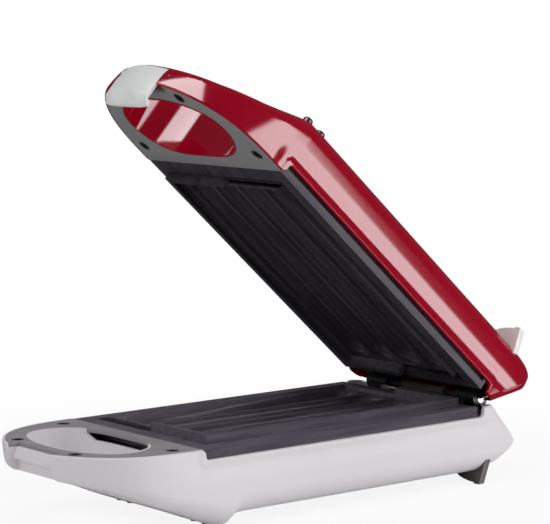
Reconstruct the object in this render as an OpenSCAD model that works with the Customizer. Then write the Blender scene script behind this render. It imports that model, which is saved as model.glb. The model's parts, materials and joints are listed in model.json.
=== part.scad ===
// Churro maker: two hinged shells, each with a fluted casting, a heater and a looped handle.
// Units are millimetres. X runs across, Y from the handle to the hinge, Z up.
// Each half is drawn closed, with the parting plane at Z = 0, and then put in its place.

/* [Shells] */
// Width across both side walls of a shell
shell_w = 112.6; // [106:0.1:124]
// Reach of the handle loop in front of the plates
handle_reach = 66.3; // [60:0.1:76]
// Thickness of the moulded walls
wall_t = 2.2; // [1.8:0.1:2.6]
// Depth of the lower shell below the parting plane
base_depth = 35.5; // [34:0.1:40]
// Depth of the upper shell above the parting plane
lid_depth = 34; // [33:0.1:40]
// Depth of both shells at the tip of the handle
tip_depth = 13; // [12.6:0.1:15]
// Radius of the lower shell's bottom edges
base_edge_r = 10; // [7:0.5:13]
// Radius of the upper shell's top edges
lid_edge_r = 13; // [9:0.5:15]
// How far the sides lean in from the rim to the bottom edge
side_draft = 2; // [1:0.1:3]
// How far the side rims drop beside the plates
rim_dip = 5.6; // [4:0.1:6.2]
// How far the rear faces stand out at their crease
rear_bulge = 16.7; // [12:0.1:17]

/* [Handle] */
// Half width of the D-shaped finger hole
hole_half_w = 38.3; // [34:0.1:40]
// Depth of the handle's bar in front of the finger hole
front_bar = 15.9; // [14.8:0.1:17.5]
// Reach of the finger hole behind its widest line
hole_rear = 19.6; // [16:0.1:20]
// Distance of the hole's widest line from the plates
hole_y = 28.2; // [26:0.1:30]
// Thickness of the trim plates
trim_t = 2; // [1.6:0.1:2.4]

/* [Plates] */
// Distance from a plate's side to the shell's side
plate_side = 2.3; // [2.2:0.1:3]
// Length of the plates
plate_l = 178; // [160:0.5:190]
// Distance between the middles of two channels
channel_pitch = 21.3; // [19:0.1:22]
// Depth of a channel at its middle
channel_depth = 10.2; // [8:0.1:11]
// How far the ridges between the channels lie below the parting plane
ridge_drop = 1.5; // [0.8:0.1:3]
// Thickness of metal below the channels
pan_floor = 3.2; // [2.6:0.1:4]
// Height of the raised wall that closes into the other plate
lip_h = 4.4; // [3:0.1:5]
// Thickness of the raised wall
lip_t = 3.4; // [2.6:0.1:4]

/* [Hinge and latch] */
// Angle between the halves as they stand
open_angle = 42.3; // [0:0.1:100]
// Radius of the hinge rod
rod_r = 2; // [1.6:0.1:2.4]
// Outer radius of the hinge knuckles
knuckle_r = 5; // [4.2:0.1:5.4]
// Width of the latch clip
clip_w = 34; // [26:0.5:36]
// Radius of the latch pin
latch_pin_r = 1.25; // [1:0.05:1.4]

/* [Feet and fasteners] */
// Height of the parting plane above the surface below
stand_h = 41.2; // [41:0.1:46]
// Thickness of the rear feet
fin_t = 3.5; // [2.5:0.1:4.5]
// Shank radius of the screws
screw_r = 1.45; // [1.2:0.05:1.6]
// Radius of the heater tubes
heater_r = 3.2; // [2.6:0.1:3.4]
// Radius of the cord hole in the gland
cord_hole_r = 3.4; // [3:0.1:3.8]

/* [Hidden] */

$fn = 48;
eps = 0.01;
part_gap = 0.2;            // from the parting plane to each half's rim
fit_gap = 0.3;             // between pieces that sit beside each other
run_gap = 0.05;            // radial clearance on a pin
half_w = shell_w / 2;
plate_w = shell_w - 2 * plate_side;
past = 5;                  // how far cutters run past what they cut
deep = 60;                 // length of cutters that run through a whole shell

// Hinge line, and where the middle of the standing part lies
rear_rim_y = plate_l + 12;
hinge_y = rear_rim_y + 0.4;
hinge_z = 1.4;
front_y = -handle_reach;
hole_front = handle_reach - hole_y - front_bar;

// Form of the shell: superellipse powers of the handle, depth along Y, rear face by level
loop_px = 1.8;
loop_py = 3;
rear_corner_r = 7;
foot_y0 = 13;              // where the moulded front foot starts and ends
foot_y1 = 18;
foot_gap = 44;
foot_lead = 14;            // the gap between the feet starts this far in front of them
foot_run = 42;             // and is this long
pad_xs = [half_w - 29.3, half_w - 20.3];
pad_r = 2.4;
pad_t = 1.6;
pad_show = 0.5;
foot_z = stand_h - pad_show;
levels = [0, 0.06, 0.3, 0.54, 0.6, 0.68, 0.77, 0.85, 0.92, 0.97, 1];
core_levels = [0, 0.3, 0.57, 0.77, 0.92, 1];

base_line = [
    [-handle_reach, tip_depth], [-50, 16.5], [-37, 21.4], [-25, 26.6], [-4, 34],
    [foot_y0, foot_z], [foot_y1, foot_z], [foot_y1 + 4, base_depth + 0.7],
    [foot_y1 + 10, base_depth], [300, base_depth]
];
lid_line = [
    [-handle_reach, tip_depth], [-50, 16], [-37, 19.6], [-28, 22.2], [-18, 26],
    [-4, lid_depth - 2.4], [3, lid_depth], [300, lid_depth]
];
base_rear = [[0, 0], [0.54, 0.95], [0.6, 1], [0.68, 0.86], [0.85, 0.35], [0.92, 0.02], [1, -0.35]];
lid_rear = [[0, 0], [0.54, 0.87], [0.6, 0.91], [0.77, 0.89], [0.85, 0.78], [0.92, 0.52], [1, -0.05]];

// Trim, plate and boss heights
trim_top = part_gap + 0.1;
trim_low = trim_top + trim_t;
trim_in = 1.3;             // rim shown outside the trim
hole_lip = 1;              // rim shown round the finger hole
hole_wall = 1.6;           // wall of the finger hole
slot_x = 27;               // half width and height of the slot behind the hole
slot_h = 3.4;
trim_screws = [[0.444 * half_w, -0.793 * handle_reach], [half_w - 9.8, -12]];
head_h = 0.83 * screw_r;   // screw heads, and how deep they sit in the trim
head_r = 2 * screw_r;
head_in = head_h + 0.1;
plate_top = part_gap;
flange_t = 3.2;
skirt_h = 6.6;
lug_top = 5.2;
lug_t = 3;
lug_r = 4.6;
lug_in = 20.3;             // from the shell's side to the front lugs
lug_step = 16;             // the rear lugs stand this much further in
lugs = [[half_w - lug_in, -lug_r - 0.4], [half_w - lug_in - lug_step, plate_l + lug_r]];
boss_r = 4;

// Pan, channels and lip
cav_x = 2 * channel_pitch;
cav_y0 = 12;
cav_y1 = plate_l - 9.5;
pan_z = channel_depth + pan_floor + plate_top;
pan_side = 3;
lip_gap = 0.4;
heater_x = channel_pitch;
heater_z = pan_z + heater_r + run_gap;
stand_r = 3.4;             // posts of the reflector, and how far in they stand
stand_in = 34;
stand_x = cav_x - 2 * stand_r - 0.2;
stand_ys = [cav_y0 + stand_in, cav_y1 - stand_in];
reflector_z = heater_z + heater_r + 1.6;
reflector_t = 0.8;

// Hinge brackets: base knuckles inside, lid knuckles outside
base_kn = [half_w - 29.5, half_w - 19.1];
lid_kn = [half_w - 18.8, half_w - 13.3];
web_t = 5.6;               // thickness of the web, which stands this far in front of the rod
web_front = 3;
web_y1 = hinge_y - web_front;
web_y0 = web_y1 - web_t;
foot_low = 24;
foot_t = 3;
foot_back = 13;            // from the hinge line to the bracket's screw
foot_side = 4;             // foot in front of the screw, and its whole length
foot_len = 12;
bracket_screw_y = hinge_y - foot_back;
scallop_r = knuckle_r + 0.7;
sleeve_r = 2.8;
spacer_r = 2.5;
spacer_x = half_w - 39.3;

// Latch, drawn as it hangs beside the handle tip
pivot_y = front_y + 5.7;
pivot_z = 6.5;
clip_top = 0.8 * tip_depth;
clip_low = -12.5;
clip_curl = 5;             // radius of the clip's lower end
clip_head = 1.3;           // room above the clip to swing
thumb_r = 100;             // thumb recess: radius, slope and upper end
thumb_tilt = 16;
thumb_z = -2.5;
clip_t = 2.8;
lip_reach = 7;
catch_y = front_y + lip_reach + fit_gap;
catch_z = 7.9;
notch_side = clip_w / 2 + 2;
base_notch = catch_y + 3.3;
lid_notch = pivot_y + 3.4;
nose_end = max(base_notch, lid_notch) + wall_t;

// Rear feet, gland and lamps
fin_x0 = half_w - 22.3;
fin_x1 = half_w - 2.3;
fin_y = hinge_y - 9.5;      // where the foot's sole stands
fin_lean = 21;
fin_top = 24;
gland_tilt = 46;
gland_r = 6.4;
gland_z = 27.2;
gland_y = rear_rim_y + rear_bulge * lookup(gland_z / base_depth, base_rear) - 0.1;
lens_x = half_w - 12.8;
lens_ys = [3.2, 13.4];
lens_r = 2.6;
lens_top = lid_depth + 1.5;
lens_mid = (lens_ys[0] + lens_ys[1]) / 2;
lamp_len = 4;
holder_z = lens_top - 5.5 - lamp_len;

// Terminal block
block_w = 18;
block_l = 28;
block_t = 2.6;
block_y = cav_y1 - 1.7 * block_l;
block_z = reflector_z + 4.5;

// Front and rear ends of the standing part, which is centred between them
side_power = 1 / loop_py;
front_end = -handle_reach * pow(1 - pow(notch_side / half_w, loop_px), side_power);
rear_reach = max([for (g = levels)
    cos(open_angle) * (rear_rim_y - hinge_y + rear_bulge * lookup(g, lid_rear))
    + sin(open_angle) * (2 * part_gap + g * (lid_depth - 2 * part_gap) - hinge_z)]);
mid_y = (front_end + hinge_y + rear_reach) / 2;

// ---------- placing ----------

module in_base() {
    translate([0, -mid_y, stand_h]) children();
}

module in_lid() {
    translate([0, hinge_y - mid_y, stand_h + hinge_z])
        rotate([-open_angle, 0, 0])
            translate([0, -hinge_y, -hinge_z]) children();
}

// A half is drawn hanging below its rim. The lid is the same form turned over.
module turned_up() {
    mirror([0, 0, 1]) children();
}

module both_sides() {
    children();
    mirror([1, 0, 0]) children();
}

// ---------- shell form ----------

function rounding(g, r) =
    g < 0.7 ? 0 : r * (1 - sqrt(max(0, 1 - pow((g - 0.7) / 0.3, 2))));

function inset_at(g, r, extra, depth) =
    extra + side_draft * g + rounding(g, r) * depth / base_depth;

function rear_at(g, rear, extra) =
    rear_rim_y + rear_bulge * lookup(g, rear) - extra;

loop_steps = [0, 8, 15, 22, 29, 36, 43, 50, 57, 64, 70, 76, 81, 85, 88, 90];
side_steps = [-0.02, foot_y0 - 9, foot_y0 - 4, foot_y0, foot_y1, foot_y1 + 4, foot_y1 + 10, 100];

function loop_y(t) = -pow(cos(t), 2 / loop_py);
function loop_x(t) = pow(sin(t), 2 / loop_px);

// One half ring of the shell, from the handle tip to the rear corner
function half_ring(g, line, rear, r, extra, top) = let(
    rc = rear_corner_r - extra,
    yr = rear_at(g, rear, extra)
) concat(
    [for (t = loop_steps) let(
        y0 = loop_y(t) * (handle_reach - extra),
        d = lookup(y0, line),
        i = inset_at(g, r, extra, d)
    ) [loop_x(t) * (half_w - i), loop_y(t) * (handle_reach - i), depth_z(g, d, extra, top)]],
    [for (y = side_steps) if (y > 0) let(d = lookup(y, line))
        [half_w - inset_at(g, r, extra, d), y, depth_z(g, d, extra, top)]],
    [for (a = [0 : 15 : 90]) let(
        i = inset_at(g, r, extra, base_depth),
        d = lookup(200, line)
    ) [half_w - i - rc * (1 - cos(a)), yr - rc * (1 - sin(a)), depth_z(g, d, extra, top)]]
);

function depth_z(g, d, extra, top) =
    g == 0 ? -top : -(top + part_gap + g * (d - extra - part_gap - top));

function mirrored_ring(h) =
    concat(h, [for (k = [len(h) - 1 : -1 : 1]) [-h[k][0], h[k][1], h[k][2]]]);

// Closed loft: a flat top at the rim, the rings, and a bottom of strips across X
module shell_solid(line, rear, r, extra = 0, top = part_gap, gs = levels, crown = 0) {
    halves = [for (g = gs) half_ring(g, line, rear, r, extra, top)];
    m = len(halves[0]);
    n = 2 * m - 1;
    rings = [for (h = halves) mirrored_ring(h)];
    last = len(gs) - 1;
    bottom = halves[last];
    spine = [for (k = [1 : m - 2]) [0, bottom[k][1], bottom[k][2] - crown_at(bottom[k], crown)]];
    rim_spine = [for (k = [1 : m - 2]) [0, halves[0][k][1], halves[0][k][2]]];
    points = concat([for (ring = rings) each ring], spine, rim_spine);
    sp = (last + 1) * n - 1;
    rs = sp + m - 2;
    b = last * n;
    sides = [for (l = [0 : last - 1]) for (k = [0 : n - 1]) let(
        p = l * n + k, q = l * n + (k + 1) % n
    ) each [[p, q, q + n], [p, q + n, p + n]]];
    floor_faces = concat(
        [[b, b + 1, sp + 1], [b, sp + 1, b + n - 1]],
        [for (k = [1 : m - 3]) each [
            [b + k, b + k + 1, sp + k + 1], [b + k, sp + k + 1, sp + k],
            [sp + k, sp + k + 1, b + n - k - 1], [sp + k, b + n - k - 1, b + n - k]
        ]],
        [[b + m - 2, b + m - 1, rs], [rs, b + m - 1, b + m], [rs, b + m, b + m + 1]]
    );
    rim_faces = concat(
        [[0, rs + 1, 1], [0, n - 1, rs + 1]],
        [for (k = [1 : m - 3]) each [
            [k, rs + k + 1, k + 1], [k, rs + k, rs + k + 1],
            [rs + k, n - k - 1, rs + k + 1], [rs + k, n - k, n - k - 1]
        ]],
        [[m - 2, rs + m - 2, m - 1], [rs + m - 2, m, m - 1], [rs + m - 2, m + 1, m]]
    );
    polyhedron(points, concat(sides, floor_faces, rim_faces));
}

// The crown fades out at both ends of the flat
function crown_at(p, crown) =
    crown * max(0, min(1, (p[1] + 4) / 24, (rear_rim_y - 2 - p[1]) / 20, p[0] / 30));

// ---------- handle outlines ----------

// Outline of the finger hole, grown outward by g: its rear half, then its front half
function hole_outline(g) = concat(
    [for (a = [0 : 7.5 : 180]) let(c = cos(a), s = sin(a))
        [sign(c) * pow(abs(c), 2 / 3.6) * (hole_half_w + g), -hole_y + pow(s, 2 / 1.7) * (hole_rear + g)]],
    [for (a = [187.5 : 7.5 : 352.5]) let(c = cos(a), s = -sin(a))
        [c * (hole_half_w + g), -hole_y - pow(s, 2 / 2.4) * (hole_front + g)]]
);

module hole_prism(g, z0, z1) {
    translate([0, 0, z0]) linear_extrude(z1 - z0) polygon(hole_outline(g));
}

// Plan of the handle loop in front of the plates, inset by i
module loop_plan(i, y_end) {
    right = [for (t = loop_steps) if (t < 89) [loop_x(t) * (half_w - i), loop_y(t) * (handle_reach - i)]];
    left = [for (k = [len(right) - 1 : -1 : 1]) [-right[k][0], right[k][1]]];
    polygon(concat(right, [[half_w - i, y_end], [-half_w + i, y_end]], left));
}

// Where a trim plate lies: the handle loop less its finger hole and the latch notch
module trim_region(g, notch_y, z0, z1) {
    difference() {
        translate([0, 0, z0]) linear_extrude(z1 - z0) loop_plan(trim_in + g, -g);
        hole_prism(hole_lip + g, z0 - 1, z1 + 1);
        translate([-notch_side - g, front_y - 5, z0 - 1])
            cube([2 * (notch_side + g), notch_y + g - front_y + 5, z1 - z0 + 2]);
    }
}

module trim_plate(notch_y) {
    difference() {
        trim_region(fit_gap / 2, notch_y, -trim_low, -trim_top);
        for (s = [-1, 1], p = trim_screws) translate([s * p[0], p[1], -trim_low - 1]) {
            cylinder(r = screw_r + 0.15, h = trim_t + past);
            translate([0, 0, 1 + trim_t - head_in]) cylinder(r = head_r + 0.2, h = past);
        }
    }
}

// A pan-head screw hanging from z, head upward
module screw(len, z) {
    difference() {
        union() {
            translate([0, 0, z]) cylinder(r = head_r, h = head_h);
            translate([0, 0, z - len]) cylinder(r = screw_r, h = len + eps);
        }
        // cross recess
        for (a = [0, 90]) translate([0, 0, z + head_h]) rotate([0, 0, a])
            cube([0.4 * screw_r, 2.2 * screw_r, head_h], center = true);
    }
}

module trim_screw_set() {
    for (s = [-1, 1], p = trim_screws) translate([s * p[0], p[1], 0])
        screw(5.5 * screw_r, -trim_top - head_in);
}

// ---------- housings ----------

// The inside of a shell, less what is moulded into it
module cavity(line, rear, r) {
    difference() {
        shell_solid(line, rear, r, wall_t, -2, core_levels);
        hole_prism(hole_wall, -deep, past);
        // solid nose of the handle behind the latch
        translate([-notch_side - wall_t, front_y - past, -deep])
            cube([2 * (notch_side + wall_t), nose_end + past - front_y, deep + past]);
        for (s = [-1, 1]) {
            for (p = trim_screws) translate([s * p[0], p[1], -deep - trim_low])
                cylinder(r = boss_r, h = deep);
            for (p = lugs) translate([s * p[0], p[1], -deep - lug_top - lug_t])
                cylinder(r = boss_r, h = deep);
        }
        children();
    }
}

module pilot(p, top, depth = 12) {
    for (s = [-1, 1]) translate([s * p[0], p[1], -top - depth])
        cylinder(r = screw_r + run_gap, h = depth + past);
}

module side_dip() {
    y0 = 0.8;
    y1 = plate_l + 2.8;
    corner = 2;
    rotate([90, 0, 90]) translate([0, 0, -half_w - 5]) linear_extrude(shell_w + 10) difference() {
        translate([y0, -rim_dip]) square([y1 - y0, rim_dip + 5]);
        for (y = [y0, y1]) translate([y, -rim_dip]) difference() {
            translate([-corner, -eps]) square([2 * corner, corner]);
            translate([y == y0 ? corner : -corner, corner]) circle(r = corner);
            translate([y == y0 ? corner : -2 * corner, -1]) square([corner, 2 * corner]);
        }
    }
}

module hinge_scallops(hz) {
    both_sides() translate([base_kn[0] - 0.4, hinge_y, hz]) rotate([0, 90, 0])
        cylinder(r = scallop_r, h = lid_kn[1] - base_kn[0] + 1.4);
    translate([-base_kn[0], hinge_y, hz]) rotate([0, 90, 0])
        cylinder(r = sleeve_r + 0.7, h = 2 * base_kn[0]);
}

module bracket_post(kn) {
    both_sides() translate([kn[0], bracket_screw_y - foot_side, -deep - foot_low])
        cube([kn[1] - kn[0], foot_back + foot_side, deep]);
}

module housing(line, rear, r, crown, kn, hz, notch_y) {
    difference() {
        shell_solid(line, rear, r, crown = crown);
        cavity(line, rear, r) {
            bracket_post(kn);
            children(0);
        }
        hole_prism(0, -deep, past);
        side_dip();
        // beds of the trim and of the plate's skirt
        trim_region(0, notch_y, -trim_low, past);
        translate([-plate_w / 2 - fit_gap, -fit_gap, -skirt_h - fit_gap])
            cube([plate_w + 2 * fit_gap, plate_l + 2 * fit_gap, skirt_h + past]);
        hinge_scallops(hz);
        for (p = trim_screws) pilot(p, trim_low, 8);
        for (p = lugs) pilot(p, lug_top + lug_t);
        pilot([(kn[0] + kn[1]) / 2, bracket_screw_y], foot_low, 7);
        children(1);
    }
}

// Side view of a rear foot, z up from its sole: an arch from the sole to the inner end
module fin_outline(g) {
    sole = 4;
    rise = 5;
    polygon(concat(
        [[fin_x0 - g, stand_h - fin_top + g], [fin_x1 + g, stand_h - fin_top - 4 + g], [fin_x1 + g, -past]],
        [[fin_x1 - sole, -past]],
        [for (a = [0 : 15 : 90])
            [fin_x1 - sole - (fin_x1 - fin_x0 - sole) * sin(a) - g, rise * (1 - cos(a))]]
    ));
}

// Rear feet that lean back, their inner ends held in slots of the shell
module fins(g = 0) {
    both_sides() difference() {
        translate([0, fin_y, -stand_h]) rotate([90 - fin_lean, 0, 0])
            translate([0, 0, -fin_t / 2 - g]) linear_extrude(fin_t + 2 * g) fin_outline(g);
        translate([0, 0, -deep - stand_h]) cube([half_w, 2 * hinge_y, deep]);
    }
}

module gland_axis() {
    translate([0, gland_y, -gland_z]) rotate([-90 - gland_tilt, 0, 0]) children();
}

module base_housing() in_base() color([0.86, 0.85, 0.87])
    housing(base_line, base_rear, base_edge_r, 0, base_kn, hinge_z, base_notch) {
        union() {
            translate([-block_w / 2 - 1, block_y - 1, -deep])
                cube([block_w + 2, block_l + 2, deep - block_z]);
            translate([-foot_gap / 2 - wall_t, foot_y0 - foot_lead - wall_t, -deep])
                cube([foot_gap + 2 * wall_t, foot_run + 2 * wall_t, deep - base_depth + wall_t]);
        }
        union() {
            // step and catch for the latch
            rotate([90, 0, 90]) translate([0, 0, -notch_side]) linear_extrude(2 * notch_side) polygon([
                [front_y - past, 1], [base_notch, 1], [base_notch, -part_gap], [catch_y, -6],
                [catch_y, -catch_z], [catch_y + 2.8, -catch_z], [catch_y + 2.8, -deep],
                [front_y - past, -deep]
            ]);
            rear_slot();
            // gap between the two moulded front feet
            translate([-foot_gap / 2, foot_y0 - foot_lead, -deep])
                cube([foot_gap, foot_run, deep - base_depth]);
            foot_pads(run_gap);
            gland_axis() cylinder(r = gland_r + run_gap, h = 30, center = true);
            fins(fit_gap);
        }
    }

// Slot under the trim behind the finger hole, with sloping ends
module rear_slot() {
    z = -trim_low;
    translate([0, -hole_y + hole_rear + 9, 0]) rotate([90, 0, 0]) linear_extrude(16) polygon([
        [-slot_x, past], [-slot_x, z], [-slot_x + 1.6, z - 0.4 * slot_h], [-slot_x + 5, z - slot_h],
        [slot_x - 5, z - slot_h], [slot_x - 1.6, z - 0.4 * slot_h], [slot_x, z], [slot_x, past]
    ]);
}

module lid_housing() in_lid() turned_up() color([0.67, 0.02, 0.08])
    housing(lid_line, lid_rear, lid_edge_r, 1.2, lid_kn, -hinge_z, lid_notch) {
        // sleeves of the lenses, which also carry the lamp holder
        for (y = [lens_ys[0], lens_mid, lens_ys[1]]) translate([lens_x, y, -deep])
            cylinder(r = lens_r + 1.6, h = deep - holder_z);
        union() {
            // pocket for the latch clip
            translate([-clip_w / 2 - fit_gap, front_y - past, -clip_top - clip_head])
                cube([clip_w + 2 * fit_gap, past + lid_notch - front_y, clip_top + past]);
            translate([0, pivot_y, -pivot_z]) rotate([0, 90, 0])
                cylinder(r = latch_pin_r + run_gap, h = clip_w + 8, center = true);
            for (y = lens_ys) translate([lens_x, y, -deep]) cylinder(r = lens_r + run_gap, h = deep);
            translate([lens_x, lens_mid, -holder_z - past]) cylinder(r = screw_r + run_gap, h = 2 * past);
            fins(fit_gap);
        }
    }

module base_trim() in_base() color([0.5, 0.49, 0.52]) trim_plate(base_notch);
module lid_trim() in_lid() turned_up() color([0.42, 0.42, 0.42]) trim_plate(lid_notch);
module base_trim_screws() in_base() color([0.25, 0.25, 0.27]) trim_screw_set();
module lid_trim_screws() in_lid() turned_up() color([0.25, 0.25, 0.27]) trim_screw_set();

// ---------- plates ----------

// Fluted half section of one channel, from its middle to its edge
flutes = 5;
flute_rise = 0.09;         // height of a flute's ridge, as a part of the channel's radius
channel_r = channel_pitch / 2 - 0.35;
function flute_pt(a) = let(
    r = 1 - flute_rise * (1 - cos(flutes * 2 * a)) / 2
) [channel_r * r * sin(a), -ridge_drop - (channel_depth - ridge_drop) * r * cos(a)];
half_flutes = [for (a = [0 : 6 : 90]) flute_pt(a)];

module channel_section() {
    left = [for (k = [len(half_flutes) - 1 : -1 : 1]) [-half_flutes[k][0], half_flutes[k][1]]];
    polygon(concat([[0, half_flutes[0][1]]], [for (k = [1 : len(half_flutes) - 1]) half_flutes[k]],
        [[channel_r, 0], [-channel_r, 0]], left));
}

module channel_cut() {
    y0 = cav_y0 + channel_r;
    y1 = cav_y1 - channel_r;
    translate([0, y1, 0]) rotate([90, 0, 0]) linear_extrude(y1 - y0) channel_section();
    for (e = [[y0, 180], [y1, 0]]) translate([0, e[0], 0]) rotate([0, 0, e[1]])
        rotate_extrude(angle = 180) polygon(concat(half_flutes, [[channel_r, 0], [0, 0]]));
}

// Frame between two rectangles on the +X half, as wide as the lip grown by g
module lip_frame(g, z0, z1) {
    t = lip_t;
    translate([0, 0, z0]) linear_extrude(z1 - z0) difference() {
        translate([-g, cav_y0 - t - g]) square([cav_x + t + 2 * g, cav_y1 - cav_y0 + 2 * (t + g)]);
        translate([-5, cav_y0 + g]) square([cav_x + 5 - g, cav_y1 - cav_y0 - 2 * g]);
    }
}

module plate() {
    difference() {
        union() {
            translate([-plate_w / 2, 0, -flange_t]) cube([plate_w, plate_l, flange_t - plate_top]);
            // skirt under the edge of the flange
            translate([0, 0, -skirt_h]) linear_extrude(skirt_h - plate_top) difference() {
                translate([-plate_w / 2, 0]) square([plate_w, plate_l]);
                translate([-plate_w / 2 + 4, 3]) square([plate_w - 8, plate_l - 6]);
            }
            translate([-cav_x - pan_side, cav_y0 - pan_side, -pan_z])
                cube([2 * (cav_x + pan_side), cav_y1 - cav_y0 + 2 * pan_side, pan_z - plate_top]);
            translate([-cav_x - lip_t - 3, cav_y0 - lip_t - 3, -lip_h - 3])
                cube([cav_x + lip_t + 3, cav_y1 - cav_y0 + 2 * lip_t + 6, lip_h + 3 - plate_top]);
            lip_frame(0, -plate_top - 1, lip_h - plate_top);
            for (s = [-1, 1], p = lugs) hull_free_lug(s * p[0], p[1]);
            // posts that carry the reflector
            for (s = [-1, 1], y = stand_ys) translate([s * stand_x, y, -reflector_z])
                cylinder(r = stand_r, h = reflector_z - pan_z + 1);
        }
        translate([-cav_x, cav_y0, -ridge_drop]) cube([2 * cav_x, cav_y1 - cav_y0, ridge_drop + 1]);
        for (k = [-1.5 : 1 : 1.5]) translate([k * channel_pitch, 0, 0]) channel_cut();
        mirror([1, 0, 0]) lip_frame(lip_gap, -lip_h - lip_gap, 1);
        for (s = [-1, 1], p = lugs) translate([s * p[0], p[1], -lug_top - lug_t - 1])
            cylinder(r = screw_r + 0.2, h = lug_t + 2);
        for (s = [-1, 1], y = stand_ys) translate([s * stand_x, y, -reflector_z - 1])
            cylinder(r = screw_r + run_gap, h = 7);
    }
}

module hull_free_lug(x, y) {
    inward = y < 0 ? 6 : -6;
    translate([0, 0, -lug_top - lug_t]) {
        translate([x, y, 0]) cylinder(r = lug_r, h = lug_t);
        translate([x - lug_r, min(y, y + inward), 0]) cube([2 * lug_r, abs(inward), lug_t]);
    }
}

module lug_screw_set() {
    for (s = [-1, 1], p = lugs) translate([s * p[0], p[1], 0]) screw(8.3 * screw_r, -lug_top);
}

// U-shaped tube with its bend at the handle end
heater_y0 = cav_y0 + channel_pitch + 8;
heater_y1 = cav_y1 - 6;
module heater_path(r) {
    translate([0, heater_y0, -heater_z]) {
        rotate([0, 0, 180]) rotate_extrude(angle = 180) translate([heater_x, 0]) circle(r = r);
        both_sides() translate([heater_x, -eps, 0]) rotate([-90, 0, 0])
            cylinder(r = r, h = heater_y1 - heater_y0);
    }
}

module heater() {
    heater_path(heater_r);
    // cold pins
    both_sides() translate([heater_x, heater_y1, -heater_z]) rotate([-90, 0, 0]) cylinder(r = 1.4, h = 6.5);
}

module reflector(with_thermostat) {
    z = -reflector_z - reflector_t;
    difference() {
        translate([-cav_x - 5, cav_y0 + 2, z]) cube([2 * cav_x + 10, plate_l - 21, reflector_t + 4]);
        translate([-cav_x - 4.2, cav_y0 + 2.8, z + reflector_t]) cube([2 * cav_x + 8.4, plate_l - 22.6, 10]);
        if (with_thermostat) translate([0, plate_l / 2, z - 1]) cylinder(r = 9.4, h = 3);
        for (s = [-1, 1], y = stand_ys) translate([s * stand_x, y, z - 1]) cylinder(r = screw_r + 0.2, h = 3);
        for (x = [-30 : 15 : 30]) translate([x - 2, 24, z - 1]) cube([4, 12, 3]);
    }
}

module reflector_screw_set() {
    for (s = [-1, 1], y = stand_ys) translate([s * stand_x, y, 0]) mirror([0, 0, 1])
        screw(3.4 * screw_r, reflector_z + reflector_t);
}

module lower_plate() in_base() color([0.2, 0.19, 0.21]) plate();
module upper_plate() in_lid() rotate([0, 180, 0]) color([0.2, 0.19, 0.21]) plate();
module lower_plate_screws() in_base() color([0.7, 0.7, 0.72]) lug_screw_set();
module upper_plate_screws() in_lid() turned_up() color([0.7, 0.7, 0.72]) lug_screw_set();
module lower_heater() in_base() color([0.45, 0.42, 0.4]) heater();
module upper_heater() in_lid() turned_up() color([0.45, 0.42, 0.4]) heater();
module lower_reflector() in_base() color([0.75, 0.76, 0.78]) reflector(true);
module upper_reflector() in_lid() turned_up() color([0.75, 0.76, 0.78]) reflector(false);
module lower_reflector_screws() in_base() color([0.7, 0.7, 0.72]) reflector_screw_set();
module upper_reflector_screws() in_lid() turned_up() color([0.7, 0.7, 0.72]) reflector_screw_set();

// ---------- electrics ----------

module thermostat() in_base() color([0.8, 0.78, 0.7])
    translate([0, plate_l / 2, -pan_z]) mirror([0, 0, 1]) {
        cylinder(r = 8.2, h = 3);
        cylinder(r = 7, h = 9.5);
        for (s = [-1, 1]) translate([s * 4 - 1.6, -0.4, 9.5 - eps]) cube([3.2, 0.8, 4]);
    }

module fuse_body() {
    translate([0, cav_y0 + 40, -pan_z]) mirror([0, 0, 1]) {
        translate([-9, 0, 2.1]) rotate([0, 90, 0]) cylinder(r = 2, h = 18);
        difference() {
            translate([-3, -3, 0]) cube([6, 6, 4.8]);
            translate([-4, 0, 2.1]) rotate([0, 90, 0]) cylinder(r = 2 - eps, h = 8);
        }
    }
}

module thermal_fuse() in_base() color([0.85, 0.83, 0.78]) fuse_body();
module lid_thermal_fuse() in_lid() turned_up() color([0.85, 0.83, 0.78]) fuse_body();

module terminal_block() in_base() color([0.92, 0.9, 0.84])
    translate([-block_w / 2, block_y, -block_z]) difference() {
        cube([block_w, block_l, block_t]);
        for (x = [block_w / 4, 0.75 * block_w], k = [1, 3, 5])
            translate([x, k * block_l / 6, block_t / 2]) cylinder(r = block_w / 11, h = block_t);
    }

module cord_gland() in_base() color([0.16, 0.16, 0.17])
    gland_axis() difference() {
        union() {
            translate([0, 0, -5]) cylinder(r = gland_r, h = 12);
            translate([0, 0, 5.4]) cylinder(r = gland_r + 2, h = 2.4);
        }
        translate([0, 0, -6]) cylinder(r = cord_hole_r, h = 20);
    }

module foot_pads(g) {
    for (s = [-1, 1], x = pad_xs) translate([s * x, (foot_y0 + foot_y1) / 2, -stand_h - g])
        cylinder(r = pad_r + g, h = pad_t + g);
}

module front_foot_pads() in_base() color([0.2, 0.2, 0.22])
    foot_pads(0);

module rear_feet() in_base() color([0.33, 0.32, 0.32]) fins();
module lid_rests() in_lid() turned_up() color([0.86, 0.87, 0.86]) fins();

// ---------- hinge ----------

module brackets(kn) {
    both_sides() difference() {
        union() {
            translate([kn[0], hinge_y, hinge_z]) rotate([0, 90, 0])
                cylinder(r = knuckle_r, h = kn[1] - kn[0]);
            translate([kn[0], web_y0, -foot_low]) cube([kn[1] - kn[0], web_y1 - web_y0, foot_low + hinge_z]);
            translate([kn[0], bracket_screw_y - foot_side, -foot_low])
                cube([kn[1] - kn[0], foot_len, foot_t]);
        }
        translate([0, hinge_y, hinge_z]) rotate([0, 90, 0]) cylinder(r = rod_r + run_gap, h = deep);
        translate([(kn[0] + kn[1]) / 2, bracket_screw_y, -foot_low - 1])
            cylinder(r = screw_r + 0.2, h = foot_t + 2);
    }
}

module bracket_screws(kn) {
    both_sides() translate([(kn[0] + kn[1]) / 2, bracket_screw_y, 0])
        screw(6.2 * screw_r, -foot_low + foot_t);
}

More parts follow.
